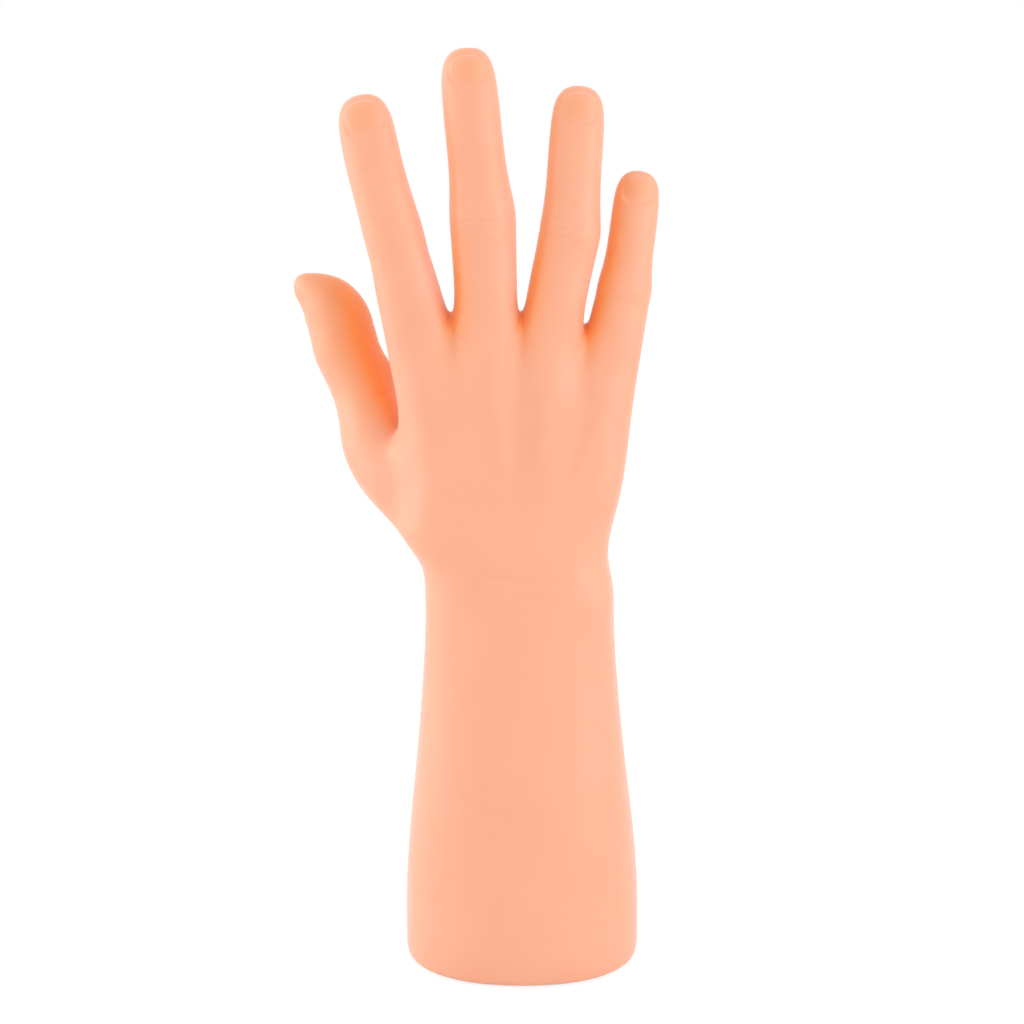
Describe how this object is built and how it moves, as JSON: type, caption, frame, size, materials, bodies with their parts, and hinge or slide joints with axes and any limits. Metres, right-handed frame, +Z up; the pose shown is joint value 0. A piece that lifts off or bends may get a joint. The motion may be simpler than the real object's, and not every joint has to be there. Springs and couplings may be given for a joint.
{
  "type": "mannequin hand display",
  "caption": "Upright mannequin right hand and forearm moulded hollow in soft skin-coloured vinyl, which lifts off a weighted base plug in its foot.",
  "frame": {"origin": "middle of the flat underside that the hand stands on", "axes": "+Z up the forearm to the fingertips, +X towards the little finger, -Y towards the back of the hand"},
  "size_m": [0.1237, 0.0774, 0.3096],
  "materials": {
    "peach_pvc": "soft plasticised PVC skin, peach, matte with a faint sheen",
    "ivory_polypropylene": "natural ivory polypropylene, fine moulded texture",
    "black_eva": "black closed-cell EVA foam",
    "cast_iron": "dark cast iron, turned edges",
    "zinc_steel": "bright zinc-plated steel"
  },
  "bodies": {
    "hand": {"hand_skin": "peach_pvc"},
    "base": {"base_plug": "ivory_polypropylene", "base_pad": "black_eva", "ballast_disc": "cast_iron", "ballast_screw_1": "zinc_steel", "ballast_screw_2": "zinc_steel", "ballast_screw_3": "zinc_steel", "ballast_washer_1": "zinc_steel", "ballast_washer_2": "zinc_steel", "ballast_washer_3": "zinc_steel"}
  },
  "joints": [
    {"name": "hand_lift", "type": "slide", "parent": "base", "child": "hand", "axis": [0, 0, 1], "range_m": [0, 0.025]}
  ]
}
